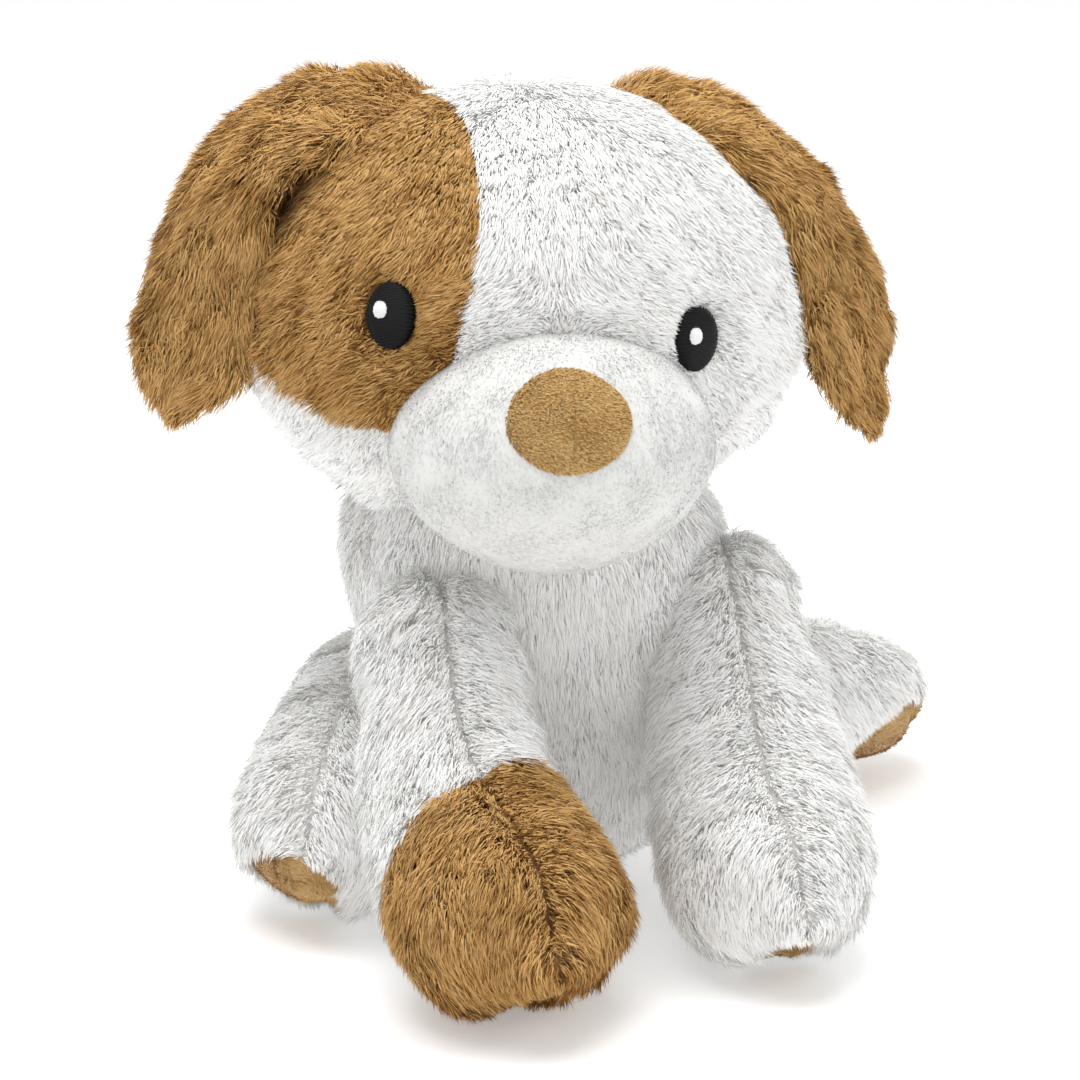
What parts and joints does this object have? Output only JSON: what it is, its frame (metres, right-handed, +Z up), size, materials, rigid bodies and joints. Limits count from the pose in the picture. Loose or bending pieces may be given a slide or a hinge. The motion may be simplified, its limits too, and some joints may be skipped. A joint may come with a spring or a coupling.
{
  "type": "plush dog",
  "caption": "Seated plush dog in long-pile cloth with floppy ears, a short-pile muzzle and nose, stitched eyes, and a head, legs and tail that swing at their seams.",
  "frame": {"origin": "on the flat seat face under the torso, on the surface the dog sits on", "axes": "+Z up; the dog's chest faces -Y; its left side is +X"},
  "size_m": [0.2592, 0.2292, 0.2441],
  "materials": {
    "white_long_pile": "soft long pile",
    "brown_long_pile": "soft long pile",
    "white_short_pile": "soft short pile",
    "tan_short_pile": "soft short pile",
    "black_stitching": "satin thread",
    "white_stitching": "satin thread",
    "stuffing": "loose polyester fibre",
    "pellet_pouch": "woven cotton bag of plastic pellets",
    "label_tape": "woven satin tape"
  },
  "bodies": {
    "torso": {"back_cover": "white_long_pile", "belly_cover": "white_long_pile", "seat_cover": "white_long_pile", "torso_stuffing": "stuffing", "seat_pellet_pouch": "pellet_pouch", "care_label": "label_tape"},
    "neck": {"neck_stuffing": "stuffing"},
    "head": {"face_cover": "white_long_pile", "eye_patch_cover": "brown_long_pile", "head_back_cover": "white_long_pile", "muzzle_cover": "white_short_pile", "nose_patch": "tan_short_pile", "eye_right": "black_stitching", "eye_left": "black_stitching", "eye_glint_right": "white_stitching", "eye_glint_left": "white_stitching", "head_stuffing": "stuffing"},
    "ear_right": {"ear_right_front": "brown_long_pile", "ear_right_back": "brown_long_pile"},
    "ear_left": {"ear_left_front": "brown_long_pile", "ear_left_back": "brown_long_pile"},
    "front_leg_right": {"front_leg_right_outer": "white_long_pile", "front_leg_right_inner": "white_long_pile", "front_leg_right_paw_outer": "brown_long_pile", "front_leg_right_paw_inner": "brown_long_pile", "front_leg_right_sole": "tan_short_pile", "front_leg_right_stuffing": "stuffing"},
    "front_leg_left": {"front_leg_left_outer": "white_long_pile", "front_leg_left_inner": "white_long_pile", "front_leg_left_sole": "tan_short_pile", "front_leg_left_stuffing": "stuffing"},
    "hind_leg_right": {"hind_leg_right_outer": "white_long_pile", "hind_leg_right_inner": "white_long_pile", "hind_leg_right_sole": "tan_short_pile", "hind_leg_right_stuffing": "stuffing"},
    "hind_leg_left": {"hind_leg_left_outer": "white_long_pile", "hind_leg_left_inner": "white_long_pile", "hind_leg_left_sole": "tan_short_pile", "hind_leg_left_stuffing": "stuffing"},
    "tail": {"tail_left": "white_long_pile", "tail_right": "white_long_pile", "tail_stuffing": "stuffing"}
  },
  "joints": [
    {"name": "head_turn", "type": "hinge", "parent": "torso", "child": "neck", "pos_m": [-0.012, -0.008, 0.177], "axis": [0, 0, 1], "range_deg": [-25, 25]},
    {"name": "head_tilt", "type": "hinge", "parent": "neck", "child": "head", "pos_m": [-0.012, -0.008, 0.177], "axis": [-0.9703, 0.2419, 0], "range_deg": [0, 22]},
    {"name": "ear_right_flap", "type": "hinge", "parent": "head", "child": "ear_right", "pos_m": [-0.05324, 0.00847, 0.235], "axis": [0.159, 0.8744, 0.4584], "range_deg": [0, 60]},
    {"name": "ear_left_flap", "type": "hinge", "parent": "head", "child": "ear_left", "pos_m": [0.037, -0.01403, 0.231], "axis": [-0.3252, -0.8718, -0.3663], "range_deg": [0, 60]},
    {"name": "front_leg_right_lift", "type": "hinge", "parent": "torso", "child": "front_leg_right", "pos_m": [-0.05, -0.035, 0.083], "axis": [-1, 0, 0], "range_deg": [0, 25]},
    {"name": "front_leg_left_lift", "type": "hinge", "parent": "torso", "child": "front_leg_left", "pos_m": [0.041, -0.035, 0.083], "axis": [-1, 0, 0], "range_deg": [0, 25]},
    {"name": "hind_leg_right_splay", "type": "hinge", "parent": "torso", "child": "hind_leg_right", "pos_m": [-0.046, 0.016, 0.04], "axis": [0, 0, -1], "range_deg": [0, 35]},
    {"name": "hind_leg_left_splay", "type": "hinge", "parent": "torso", "child": "hind_leg_left", "pos_m": [0.058, 0.018, 0.037], "axis": [0, 0, 1], "range_deg": [-40, 20]},
    {"name": "tail_wag", "type": "hinge", "parent": "torso", "child": "tail", "pos_m": [0, 0.05, 0.034], "axis": [0, 0, 1], "range_deg": [-30, 30]}
  ]
}
